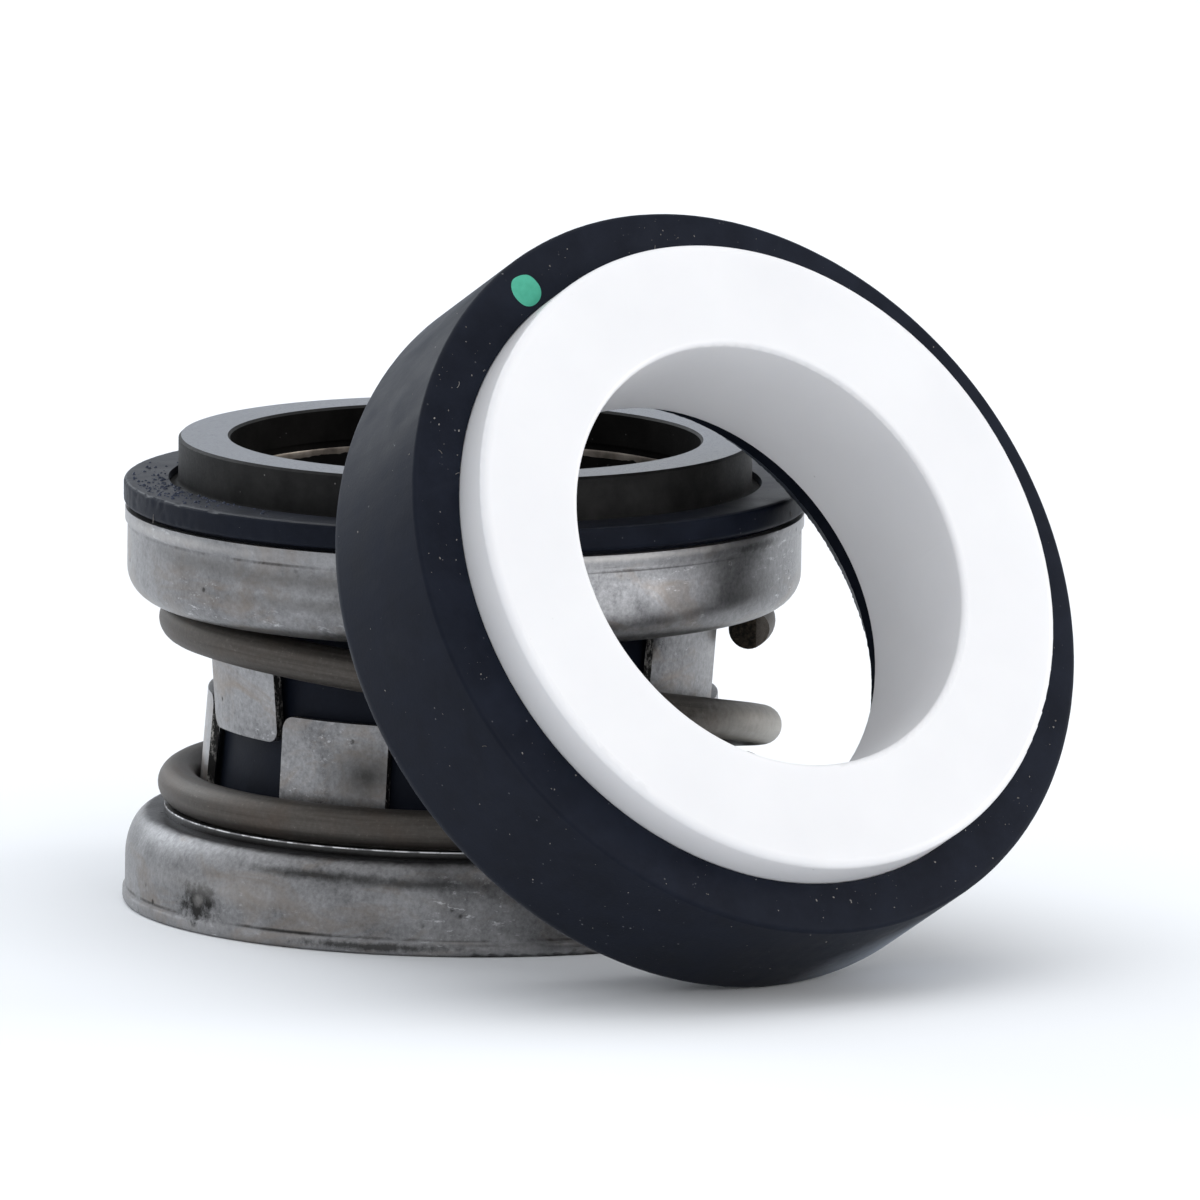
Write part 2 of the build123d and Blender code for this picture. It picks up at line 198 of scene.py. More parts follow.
def sharpen(obj, limit=SHARP):
    """Keeps edges sharper than the limit crisp on a smooth mesh."""
    bpy.context.view_layer.objects.active = obj
    obj.select_set(True)
    bpy.ops.object.shade_smooth_by_angle(angle=math.radians(limit))
    obj.select_set(False)


def lathe(name, outline, segments, worn):
    """A closed outline of (radius, height) turned round Z; worn says how far each point moves."""
    points = []
    for i in range(segments):
        a = 2 * math.pi * i / segments
        for r, z in outline:
            p = around(r, a, z)
            points.append(p + worn(p, r, z, a))
    count = len(outline)
    faces = []
    for i in range(segments):
        here, ahead = i * count, (i + 1) % segments * count
        for k in range(count):
            m = (k + 1) % count
            faces.append((here + k, ahead + k, ahead + m, here + m))
    obj = mesh_object(name, points, faces)
    sharpen(obj)
    return obj


def make_bellows():
    """The rubber moulding: tail, folded wall, head with its pocket, and the chipped flange."""
    wall_h = PLATE_TOP - GRIP_TOP
    shares = [t / FOLD_STEPS for t in range(FOLD_STEPS + 1)]
    outer_wall = [(BELLOWS_R - FOLD_DEPTH * math.sin(math.pi * share), GRIP_TOP + wall_h * share)
                  for share in shares]
    inner_wall = [(r - BELLOWS_R + BELLOWS_INNER_R, z) for r, z in reversed(outer_wall)]
    inner_wall[-1] = (BELLOWS_INNER_R, GRIP_TOP + GRIP_LEAD)
    flange_r = HEAD_R - FLANGE_EDGE
    flange_low, flange_high = FLANGE_BOTTOM + FLANGE_EDGE, FLANGE_TOP - FLANGE_EDGE
    outline = [(GRIP_R, GRIP_TOP), (GRIP_R, 0), (SKIRT_R, 0), (SKIRT_R, TAIL_TOP - TAIL_ROUND),
               (SKIRT_R - TAIL_ROUND, TAIL_TOP), (BELLOWS_R, TAIL_TOP)]
    outline += outer_wall + [(BELLOWS_R, HEAD_BOTTOM), (SKIRT_R - HEAD_ROUND, HEAD_BOTTOM)]
    outline += arc(SKIRT_R - HEAD_ROUND, HEAD_BOTTOM + HEAD_ROUND, HEAD_ROUND, -90, 90)[1:]
    outline += [(SKIRT_R, FLANGE_BOTTOM)] + arc(flange_r, flange_low, FLANGE_EDGE, -90, 90)
    outline += along((HEAD_R, flange_low), (HEAD_R, flange_high), 4)
    outline += arc(flange_r, flange_high, FLANGE_EDGE, 0, 90)
    outline += along((flange_r, FLANGE_TOP), (LIP_R, FLANGE_TOP), 6)
    outline += [(LIP_R, FLANGE_TOP), (LIP_R, POCKET_TOP), (POCKET_R, POCKET_TOP),
                (POCKET_R, RING_BOTTOM), (BELLOWS_INNER_R, RING_BOTTOM)]
    outline += inner_wall

    def chipped(p, r, z, a):
        if r < LIP_R + 0.2 or z < FLANGE_BOTTOM - 0.01:
            return Vector()
        torn = max(0.0, math.cos(a - CHIPPED_SIDE)) ** 12
        rough = noise.fractal(p * 1.3, 0.7, 2.2, 4) * 0.35 + noise.noise(p * 4.1) * 0.25
        chip = max(0.0, noise.noise(p * 2.3 + Vector((7, 1, 3))) - 0.12) * (0.35 + 1.6 * torn)
        near_edge = min(1.0, max(0.0, (r - (HEAD_R - CHIP_REACH)) / 0.9))
        depth = -CHIP_DEPTH * (abs(rough) * 0.5 + chip * 2.0) * near_edge
        return around(depth, a, depth * 0.7 if z > FLANGE_TOP - 0.4 else 0.0)

    obj = lathe("rubber_bellows", outline, BELLOWS_SEGMENTS, chipped)
    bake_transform(obj)
    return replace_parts(obj, "bellows")


def make_crumbs():
    """Loose rubber crumbs and torn flash on the flange, thickest at the left."""
    points, faces = [], []
    for _ in range(CRUMBS):
        thick = chance.random() < CRUMBS_LEFT
        a = math.radians(chance.gauss(*CRUMB_SIDE) if thick else chance.uniform(0, 360))
        r = LIP_R + 0.05 + (HEAD_R - 0.5 - LIP_R) * chance.random() ** 1.3
        size = 0.04 + 0.11 * chance.random() ** 3 if thick else 0.03 + 0.03 * chance.random()
        first = len(points)
        for level, spread in CRUMB_LEVELS:
            for k in range(CRUMB_SIDES):
                out = size * spread * chance.uniform(0.6, 1.25)
                z = FLANGE_TOP - CRUMB_SINK + level * size * chance.uniform(0.7, 1.3)
                points.append(around(r, a, z) + around(out, 2 * math.pi * k / CRUMB_SIDES))
        for low in (first, first + CRUMB_SIDES):
            high = low + CRUMB_SIDES
            for k in range(CRUMB_SIDES):
                m = (k + 1) % CRUMB_SIDES
                faces.append((low + k, low + m, high + m, high + k))
        faces.append(tuple(first + 2 * CRUMB_SIDES + k for k in range(CRUMB_SIDES)))
    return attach(mesh_object("rubber_crumbs", points, faces), "head")


def make_groove_glint():
    """A thin ring under the groove in the carbon ring's bore, painted bright as the glint on the
    groove's lower lip.
    """
    r, top = GROOVE_GLINT_R, GROOVE_GLINT_Z
    outline = [(r - 0.02, top - 0.10), (r + 0.02, top - 0.44), (r + 0.18, top - 0.42),
               (r + 0.18, top - 0.03), (r, top)]

    def rippled(p, r, z, a):
        depth = 0.02 * noise.noise(p * 0.8) + 0.012 * noise.noise(p * 3.0)
        return around(depth, a, 0.02 * noise.noise(p * 0.5))

    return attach(lathe("groove_glint", outline, GROOVE_SEGMENTS, rippled), "head")


def coil_point(angle):
    """A point of the wire's centre line."""
    share = min(max((angle - COIL_FALL_FROM) / (COIL_FALL_TO - COIL_FALL_FROM), 0.0), 1.0)
    z = COIL_TOP_Z - (COIL_TOP_Z - COIL_BOTTOM_Z) * (1 - math.cos(math.pi * share)) / 2
    r = COIL_R - COIL_TUCK * max(1 - (angle - COIL_START) / COIL_TUCK_SPAN, 0.0) ** 2
    return Vector((COIL_SIDE, 0, 0)) + around(r, math.radians(angle), z)


def add_wire_ring(points, angle, length, slope):
    """One ring of points round the wire; slope cuts it off slanting at a sheared end."""
    here = coil_point(angle)
    ahead = (coil_point(angle + 0.5) - coil_point(angle - 0.5)).normalized()
    side = ahead.cross(UP).normalized()
    top = side.cross(ahead)
    for k in range(WIRE_SIDES):
        t = 2 * math.pi * k / WIRE_SIDES
        c, s = math.cos(t), math.sin(t)
        scar = 1 - SCAR * abs(noise.noise(Vector((length * 0.11, c * 2, s * 2))))
        cut = slope * max(0.0, c - SHEAR_FROM) * WIRE_R
        points.append(here + (side * c + top * s) * WIRE_R * scar + ahead * cut)


def sheared_ends(last):
    """The faces that close the wire: each end has a burnished part and a broken part."""
    burnished = [k for k in range(-WIRE_SIDES // 2, WIRE_SIDES // 2)
                 if math.cos(2 * math.pi * k / WIRE_SIDES) > SHEAR_FROM - 0.01]
    broken = range(burnished[-1], WIRE_SIDES + burnished[0] + 1)
    return [tuple(end + k % WIRE_SIDES for k in part[::order])
            for end, order in ((0, -1), (last, 1)) for part in (burnished, broken)]


def lay_wire_map(mesh, lengths):
    """A UV map with the length along the wire in millimetres, and the share of a turn round it."""
    layer = mesh.uv_layers.new(name="wire")
    for polygon in mesh.polygons:
        spots = [(lengths[v // WIRE_SIDES], v % WIRE_SIDES / WIRE_SIDES) for v in polygon.vertices]
        turns = [turn for _, turn in spots]
        wraps = 0.0 in turns and max(turns) > 0.9
        for loop, (length, turn) in zip(polygon.loop_indices, spots):
            layer.data[loop].uv = (length, 1.0 if wraps and turn == 0.0 else turn)


def make_spring():
    """The coil spring, swept along its path, with sheared ends and a drawn wire's fine scars."""
    count = round((COIL_END - COIL_START) / COIL_STEP)
    angles = [COIL_START + (COIL_END - COIL_START) * i / count for i in range(count + 1)]
    centres = [coil_point(angle) for angle in angles]
    points, faces, lengths = [], [], [0.0]
    for before, here in zip(centres, centres[1:]):
        lengths.append(lengths[-1] + (here - before).length)
    slopes = [SHEAR_SLOPE] + [0.0] * (count - 1) + [-SHEAR_SLOPE]
    for angle, length, slope in zip(angles, lengths, slopes):
        add_wire_ring(points, angle, length, slope)
    for low in range(0, count * WIRE_SIDES, WIRE_SIDES):
        high = low + WIRE_SIDES
        for k in range(WIRE_SIDES):
            m = (k + 1) % WIRE_SIDES
            faces.append((low + k, low + m, high + m, high + k))
    obj = mesh_object("spring_wire", points, faces + sheared_ends(count * WIRE_SIDES))
    lay_wire_map(obj.data, lengths)
    sharpen(obj, WIRE_SHARP)
    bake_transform(obj)
    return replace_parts(obj, "coil_spring")


def seat_matrix():
    """The seat's own frame: origin at the middle of the ceramic face, +Z out of it."""
    mount = [m for m in frame["record"]["mounts"] if m["name"] == "seat_bore"][0]
    axis = Vector(mount["axis"]).normalized()
    side = UP.cross(axis).normalized()
    place = Matrix((side, axis.cross(side), axis)).transposed().to_4x4()
    place.translation = Vector(mount["pos_m"]) + axis * SEAT_FACE_FROM_MOUNT * MM
    return place


def make_cup(place):
    """The rubber cup round the ceramic, with a lead-in at its back and a ragged mouth."""
    back = -CUP_DEPTH
    diagonal = CUP_LEAD_EDGE * math.sin(math.radians(45))
    lead_r, lead_z = CUP_R - CUP_LEAD_EDGE, back + CUP_LEAD + diagonal
    flare = (CUP_BORE_R, back + CUP_FLARE_L)
    outline = [(CUP_BORE_R, -SEAT_L)] + along((CUP_BORE_R, -SEAT_L), flare, 3) + [flare]
    outline += along(flare, (CUP_MOUTH_R, back), 4) + [(CUP_MOUTH_R, back)]
    outline += [(lead_r + diagonal - CUP_LEAD, back)] + arc(lead_r, lead_z, CUP_LEAD_EDGE, -45, 45)
    outline += arc(CUP_R - CUP_EDGE, -SEAT_STAND - CUP_EDGE, CUP_EDGE, 0, 90)
    outline += along((CUP_R - CUP_EDGE, -SEAT_STAND), (CUP_INNER_R, -SEAT_STAND), 5)
    outline += [(CUP_INNER_R, -SEAT_STAND), (CUP_INNER_R, -SEAT_L)]

    def ragged(p, r, z, a):
        wave = noise.fractal(p * 0.9, 0.8, 2.1, 3) * 0.012
        if r < CUP_MOUTH_R + 0.1 and z < -SEAT_L - 0.1:
            torn = 1.0 if z < back + 0.1 else 0.4
            wave += torn * (abs(noise.noise(p * 1.4)) * 0.07 + abs(noise.noise(p * 5.0)) * 0.10)
            return around(-wave, a)
        return around(-abs(wave), a)

    obj = lathe("rubber_cup", outline, CUP_SEGMENTS, ragged)
    obj.data.transform(place)
    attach(obj, "base")
    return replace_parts(obj, "cup_gasket")


def make_dot(place):
    """A dab of green marking paint, a little uneven and domed."""
    middle = around(DOT_R, DOT_ANGLE, -SEAT_STAND)
    points = [middle + UP * DOT_THICK]
    for ring in range(1, DOT_RINGS + 1):
        share = ring / DOT_RINGS
        lift = DOT_THICK * (1 - share ** 4) - 0.01 * (ring == DOT_RINGS)
        for k in range(DOT_SIDES):
            t = 2 * math.pi * k / DOT_SIDES
            uneven = 1 + 0.07 * noise.noise(around(1.3, t, 4)) + 0.03 * math.sin(3 * t)
            points.append(middle + around(DOT_SIZE * share * uneven, t, lift))
    faces = [(0, 1 + k, 1 + (k + 1) % DOT_SIDES) for k in range(DOT_SIDES)]
    for low in range(1, 1 + (DOT_RINGS - 1) * DOT_SIDES, DOT_SIDES):
        high = low + DOT_SIDES
        for k in range(DOT_SIDES):
            m = (k + 1) % DOT_SIDES
            faces.append((low + k, high + k, high + m, low + m))
    obj = mesh_object("paint_dot", points, faces)
    obj.data.transform(place)
    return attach(obj, "base")


def random_way(normal):
    """A direction at random in the surface with this normal."""
    way = normal.orthogonal().normalized()
    way.rotate(Matrix.Rotation(chance.uniform(0, 6.28), 3, normal))
    return way


def add_flake(points, faces, at, normal, size):
    """One thin, uneven fleck of dust lying on a surface."""
    side = random_way(normal)
    across = normal.cross(side)
    first = len(points)
    for k in range(FLAKE_SIDES):
        t = 2 * math.pi * k / FLAKE_SIDES
        r = size * chance.uniform(0.5, 1.1)
        points.append(at + side * math.cos(t) * r + across * math.sin(t) * r * 0.7
                      + normal * LIFTED)
    points.append(at + normal * size * 0.45)
    faces.extend((first + k, first + (k + 1) % FLAKE_SIDES, first + FLAKE_SIDES)
                 for k in range(FLAKE_SIDES))


def add_fibre(points, faces, at, normal, length):
    """One short curved lint fibre lying on a surface."""
    way = random_way(normal)
    bend = chance.uniform(-1.2, 1.2)
    here = at.copy()
    first = len(points)
    for i in range(FIBRE_STEPS + 1):
        way.rotate(Matrix.Rotation(bend / FIBRE_STEPS, 3, normal))
        across = normal.cross(way) * FIBRE_HALF
        ridge = 0.012 + 0.02 * math.sin(math.pi * i / FIBRE_STEPS) + FIBRE_HALF
        points.extend((here - across + normal * LIFTED, here + normal * ridge,
                       here + across + normal * LIFTED))
        here = here + way * length / FIBRE_STEPS
    for i in range(FIBRE_STEPS):
        a = first + i * 3
        faces.append((a, a + 1, a + 4, a + 3))
        faces.append((a + 1, a + 2, a + 5, a + 4))


def make_cup_dust(place):
    """Dust and lint on the cup's face and side, in small nests."""
    points, faces = [], []
    for i in range(CUP_SPECKS):
        if i % NEST == 0:
            nest = chance.uniform(0, 2 * math.pi)
            on_face = nest * 1000 % 10 < 10 * CUP_FACE_SHARE
        a = nest + chance.gauss(0, NEST_SPREAD)
        if on_face:
            at = around(chance.uniform(CUP_INNER_R + 0.15, CUP_R - 0.4), a, -SEAT_STAND)
            normal = UP
        else:
            at = around(CUP_R, a, -SEAT_STAND - 0.4 - 9.0 * chance.random() ** 1.6)
            normal = around(1, a)
        if chance.random() < CUP_FIBRES:
            add_fibre(points, faces, at, normal, chance.uniform(0.25, 0.6))
        else:
            add_flake(points, faces, at, normal, 0.02 + 0.085 * chance.random() ** 3)
    obj = mesh_object("cup_dust", points, faces, smooth=False)
    obj.data.transform(place)
    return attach(obj, "base")


def make_flange_dust():
    """Dust and lint on the rubber flange."""
    points, faces = [], []
    for _ in range(FLANGE_SPECKS):
        a = chance.uniform(0, 2 * math.pi)
        if chance.random() < 0.5:
            at = around(chance.uniform(LIP_R + 0.3, HEAD_R - 0.5), a, FLANGE_TOP - 0.01)
            normal = UP
        else:
            at = around(HEAD_R - 0.02, a, chance.uniform(FLANGE_BOTTOM + 0.3, FLANGE_TOP - 0.4))
            normal = around(1, a)
        if chance.random() < FLANGE_FIBRES:
            add_fibre(points, faces, at, normal, chance.uniform(0.3, 0.6))
        else:
            add_flake(points, faces, at, normal, 0.018 + 0.04 * chance.random() ** 3)
    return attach(mesh_object("flange_dust", points, faces, smooth=False), "head")


# ---- colours, linear red, green and blue -----------------------------------------------------
STEEL_DARK = (0.075, 0.074, 0.076, 1)
STEEL_LIGHT = (0.33, 0.328, 0.332, 1)
STEEL_BARE = (0.66, 0.66, 0.67, 1)
STEEL_BROWN = (0.19, 0.155, 0.125, 1)
# painted highlight: the bright line along the band's lit edge
EDGE_HIGHLIGHT = (0.62, 0.62, 0.62, 1)
STEEL_SHADED = (0.022, 0.022, 0.025, 1)
PIT = (0.035, 0.032, 0.030, 1)
# painted shadow: the dark line under a shell's rim step
RIM_SHADOW = (0.03, 0.028, 0.027, 1)
# painted shade: the band's outer wall, darkened as if in shadow
CUT_WALL_SHADE = (0.02, 0.019, 0.018, 1)
CUT_DARK, CUT_BRIGHT = (0.018, 0.017, 0.016, 1), (0.46, 0.44, 0.41, 1)
WIRE_DARK, WIRE_LIGHT = (0.060, 0.053, 0.047, 1), (0.125, 0.113, 0.101, 1)
WIRE_RUST = (0.095, 0.068, 0.052, 1)
WIRE_GRIT = (0.045, 0.039, 0.033, 1)
WIRE_BARE = (0.19, 0.175, 0.155, 1)
# painted light: the pale colour of the bend that light from the right reaches
WIRE_PAINTED_LIGHT = (0.50, 0.48, 0.44, 1)
BREAK_DARK, BREAK_LIGHT = (0.008, 0.007, 0.006, 1), (0.10, 0.08, 0.055, 1)
RUBBER_DARK, RUBBER_LIGHT = (0.0052, 0.0068, 0.0122), (0.0088, 0.0112, 0.0190)
RUBBER_WIPED = (0.020, 0.023, 0.031, 1)
RUBBER_DUST = (0.28, 0.28, 0.29, 1)
# painted reflection: the pale colour of the floor mirrored on the cup's outer side
RUBBER_FLOOR_REFLECTION = (0.26, 0.29, 0.34, 1)
RUBBER_SHEEN = (0.72, 0.84, 1.0, 1)
CARBON_DARK, CARBON_LIGHT = (0.0085, 0.0083, 0.0082, 1), (0.021, 0.0205, 0.020, 1)
# painted reflection: the lapped face's colours are lighter and bluer, for the bright sky it
# reflects
LAPPED_REFLECTION_DARK, LAPPED_REFLECTION_LIGHT = (0.040, 0.047, 0.066, 1), (0.055, 0.064, 0.088, 1)
# painted shade: the bore's colours are darker, for the shade inside it
BORE_SHADE_DARK, BORE_SHADE_LIGHT = (0.0030, 0.0028, 0.0026, 1), (0.0075, 0.007, 0.0065, 1)
CARBON_SPECK = (0.25, 0.24, 0.23, 1)
CERAMIC_DARK, CERAMIC_LIGHT = (0.735, 0.732, 0.745, 1), (0.765, 0.762, 0.772, 1)
CERAMIC_SPECK = (0.35, 0.34, 0.33, 1)
PAINT_DARK, PAINT_LIGHT = (0.034, 0.33, 0.215, 1), (0.050, 0.39, 0.26, 1)
DUST_DARK, DUST_LIGHT = (0.09, 0.083, 0.077, 1), (0.28, 0.265, 0.25, 1)
# painted highlight: the colours of the glint on the groove's lower lip
GLINT_DARK, GLINT_LIGHT = (0.07, 0.055, 0.045, 1), (0.40, 0.35, 0.30, 1)
FLOOR_DARK, FLOOR_LIGHT = (0.86, 0.875, 0.90, 1), (0.88, 0.895, 0.915, 1)

# ---- marks on the steel ----------------------------------------------------------------------
# Each mark: angle, height, half its span round the wall, half its height, strength, shade and
# raggedness. A shade over 1 makes the steel that much brighter, and any other is the mark's grey.
# Some marks are stains and wear, and some are painted light, shade or reflections, as noted by
# their rows.
RETAINER_MARKS = (
    (-30, 22.2, 26, 0.6, 0.6, 0.10, 0.3), (-52, 22.6, 12, 0.5, 0.5, 0.12, 0.4),
    (-24, 20.8, 20, 0.4, 0.5, 0.11, 0.4), (-60, 23.6, 20, 0.3, 0.4, 0.5, 0.5),
    # painted light: the first mark on the next line brightens the steel where light comes in
    # through the seat's bore
    (33, 21.9, 18, 1.6, 0.95, 3.3, 0.12), (58, 20.9, 8, 1.0, 0.5, 0.07, 0.3),
    # painted light: the second mark on the next line brightens the tabs all round, more than the
    # rest of the sheet
    (60, 23.5, 7, 0.3, 0.85, 0.02, 0.8), (0, 13.0, 180, 4.5, 1.0, 1.25, 0.1),
    # painted shadow: the second mark on the next line is a dark line under the rim's step
    (30, 23.9, 24, 0.2, 0.6, 0.7, 0.5), (34, 23.05, 18, 0.05, 0.6, 0.04, 0.4))
BAND_MARKS = (
    # painted light: the first mark on the next line brightens the band's tabs all round
    (0, 9.5, 180, 4.0, 1.0, 1.4, 0.1), (-21, 9.9, 9, 1.7, 1.0, 0.05, 0.2),
    (-26, 7.3, 9, 0.25, 0.7, 0.75, 0.8))
HOLDER_MARKS = (
    (-50.5, 1.9, 4.8, 1.1, 1.0, 0.02, 0.95), (-50.2, 2.0, 1.5, 0.35, 0.7, 0.2, 0.7),
    (-47, 2.6, 1.2, 0.25, 0.8, 0.02, 0.9), (-14, 0.5, 14, 0.25, 0.8, 0.02, 0.8),
    # painted reflection: the marks on the next line are dark streaks on the shoulder, standing for
    # the coil mirrored there
    (-26, 4.5, 12, 0.28, 0.85, 0.02, 0.5), (-8, 4.3, 12, 0.32, 0.75, 0.025, 0.4),
    # painted shadow: the second mark on the next line darkens the line under the rim's step
    (-46, 2.9, 18, 0.6, 0.25, 0.45, 0.3), (-30, 0.95, 10, 0.08, 0.8, 0.02, 0.5))
WIRE_MARK = (78, 10.8, 40, 2.6, 0.3)        # angle, height, half span, half height, raggedness of the painted light on the coil's bend
CUP_FLOOR_REFLECTION = (24, -11.0, 15, 4.5, 0.15)       # the same, in the seat's own frame, for the painted reflection of the floor
RETAINER_RIM = (23.2, 1)                    # where a shell's rim band starts, and its side
HOLDER_RIM = (0.9, -1)
BAND_EDGE = (18.05, 5.95)                   # radius and height of the band's outer upper edge, painted shade below and a painted highlight along it
HOLDER_SHADED_R = 19.0                      # inside this radius the holder is painted dark, as shade from the coil


class Look:
    """A node material in the making. Its methods add nodes and give the output of the last."""

    def __init__(self, name):
        self.material = bpy.data.materials.new(name)
        self.material.use_nodes = True
        self.tree = self.material.node_tree
        self.at = self.node("ShaderNodeTexCoord").outputs["Object"]

    def fill(self, node, inputs):
        """Gives a node's inputs their values, or links them to other nodes' outputs."""
        for key, value in inputs.items():
            if isinstance(value, bpy.types.NodeSocket):
                self.tree.links.new(value, node.inputs[key])
            else:
                node.inputs[key].default_value = value
        return node

    def node(self, kind, inputs=None, **settings):
        """A new node with its settings and inputs."""
        made = self.tree.nodes.new(kind)
        for key, value in settings.items():
            setattr(made, key, value)
        return self.fill(made, inputs or {})

    def shade(self, **sockets):
        """Fills the shader's sockets and gives the finished material."""
        inputs = {key.replace("_", " "): value for key, value in sockets.items()}
        self.fill(self.tree.nodes["Principled BSDF"], inputs)
        return self.material

    def bump(self, height, strength, depth):
        """A normal for bumps of a height from 0 to 1, with their depth in millimetres."""
        inputs = {"Height": height, "Strength": strength, "Distance": depth * MM}
        return self.node("ShaderNodeBump", inputs).outputs["Normal"]

    def stretch(self, vector, x, y, z):
        """The vector with each axis scaled."""
        inputs = {"Vector": vector, "Scale": (x, y, z)}
        return self.node("ShaderNodeMapping", inputs).outputs["Vector"]

    def cloud(self, scale, detail=3.0, roughness=0.55, distortion=0.0, at=None):
        """Noise from 0 to 1; the scale is in lumps a metre."""
        inputs = {"Vector": at or self.at, "Scale": scale, "Detail": detail,
                  "Roughness": roughness, "Distortion": distortion}
        return self.node("ShaderNodeTexNoise", inputs).outputs["Fac"]

    def cells(self, scale):
        """Distance to the nearest of many random points."""
        inputs = {"Vector": self.at, "Scale": scale}
        return self.node("ShaderNodeTexVoronoi", inputs).outputs["Distance"]

    def reach(self, value, low, high, to_low=0.0, to_high=1.0):
        """A value mapped from one range to another and held inside it."""
        inputs = {"Value": value, "From Min": low, "From Max": high,
                  "To Min": to_low, "To Max": to_high}
        return self.node("ShaderNodeMapRange", inputs).outputs["Result"]

    def maths(self, operation, a, b=0.0):
        """A sum on two values, or on the first alone."""
        return self.node("ShaderNodeMath", {0: a, 1: b}, operation=operation).outputs[0]

    def times(self, a, b):
        return self.maths("MULTIPLY", a, b)

    def plus(self, a, b, *more):
        total = self.maths("ADD", a, b)
        return self.plus(total, *more) if more else total

    def minus(self, a, b):
        return self.maths("SUBTRACT", a, b)

    def length(self, a, b):
        """The length of a line that goes a one way and b the other."""
        return self.maths("SQRT", self.plus(self.times(a, a), self.times(b, b)))

    def mix(self, share, a, b):
        """Colour a where share is 0 and colour b where it is 1."""
        inputs = {0: share, 6: a, 7: b}
        return self.node("ShaderNodeMix", inputs, data_type="RGBA").outputs[2]

    def round_axis(self, turned=None):
        """Angle from the front in radians, and radius and height in metres, round the head's axis
        or round the Z axis of a turned frame."""
        at = self.at
        if turned:
            inputs = {0: at, 1: turned.translation, 2: turned.to_euler()}
            at = self.node("ShaderNodeMapping", inputs, vector_type="TEXTURE").outputs[0]
        x, y, z = self.node("ShaderNodeSeparateXYZ", {0: at}).outputs
        return self.maths("ARCTAN2", x, self.times(y, -1.0)), self.length(x, y), z

    def patch(self, angle, z, at_angle, at_z, half_angle, half_z, ragged):
        """1 inside an uneven patch on a wall round an axis, 0 outside."""
        a = self.minus(angle, math.radians(at_angle))
        a = self.maths("DIVIDE", a, math.radians(half_angle))
        h = self.maths("DIVIDE", self.minus(z, at_z * MM), half_z * MM)
        uneven = self.times(self.minus(self.cloud(1500.0, 5.0, 0.7), 0.5), ragged * 3)
        away = self.plus(self.length(a, h), uneven)
        return self.reach(away, 1.65 - ragged * 0.5, ragged * 0.55)

    def band(self, value, middle, half, soft):
        """1 where a value lies near the middle, 0 away from it."""
        return self.reach(self.maths("ABSOLUTE", self.minus(value, middle)), half + soft, half)


def add_rim(look, colour, z, stain, rim_z, side):
    """A lighter rim band, and a painted shadow line under the rim's step where it meets the wall.
    """
    start = rim_z * side * MM
    rim_band = look.reach(look.times(z, side), start - 0.04 * MM, start)
    colour = look.mix(look.times(rim_band, 0.18), colour, STEEL_LIGHT)
    # painted shadow: a broken dark line under the rim's step
    shadow_line = look.band(z, (rim_z - 0.10 * side) * MM, 0.04 * MM, 0.08 * MM)
    return look.mix(look.times(shadow_line, look.reach(stain, 0.44, 0.62, 0.0, 0.8)), colour, RIM_SHADOW)


def add_edge_shade_and_highlight(look, colour, radius, z, edge_r, edge_z):
    """Painted shade on the cut wall outside an edge, and a thin broken painted highlight along the
    edge's top.
    """
    outside = look.reach(radius, (edge_r - 0.09) * MM, (edge_r - 0.06) * MM)
    wall = look.reach(z, (edge_z - 0.06) * MM, (edge_z - 0.10) * MM, 0.0, 0.92)
    # painted shade: the wall outside the edge darkened as if in shadow
    colour = look.mix(look.times(outside, wall), colour, CUT_WALL_SHADE)
    # painted highlight: a thin bright line along the lit top of the edge
    line = look.times(look.reach(z, (edge_z - 0.09) * MM, (edge_z - 0.06) * MM),
                      look.reach(look.cloud(900.0, 4.0, 0.7), 0.46, 0.56))
    return look.mix(look.times(outside, line), colour, EDGE_HIGHLIGHT)


def add_inner_shade(look, colour, radius, within):
    """Painted shade inside a radius, for the coil's shadow and dark reflection on the holder's
    top, with an uneven border.
    """
    uneven = look.times(look.minus(look.cloud(700.0, 4.0, 0.7), 0.5), 0.8 * MM)
    inside = look.reach(look.plus(radius, uneven), (within + 0.35) * MM, within * MM, 0.0, 0.85)
    return look.mix(inside, colour, STEEL_SHADED)


def add_marks(look, colour, angle, z, marks):
    """Stains, bright patches and painted light, shade and reflections at their places on the wall.
    """
    for at_angle, at_z, half_angle, half_z, strength, shade, ragged in marks:
        mask = look.patch(angle, z, at_angle, at_z, half_angle, half_z, ragged)
        mark = (shade, shade * 0.96, shade * 0.92, 1)
        if shade > 1:
            inputs = {0: colour, "Scale": shade}
            mark = look.node("ShaderNodeVectorMath", inputs, operation="SCALE").outputs[0]
        colour = look.mix(look.times(mask, strength), colour, mark)
    return colour


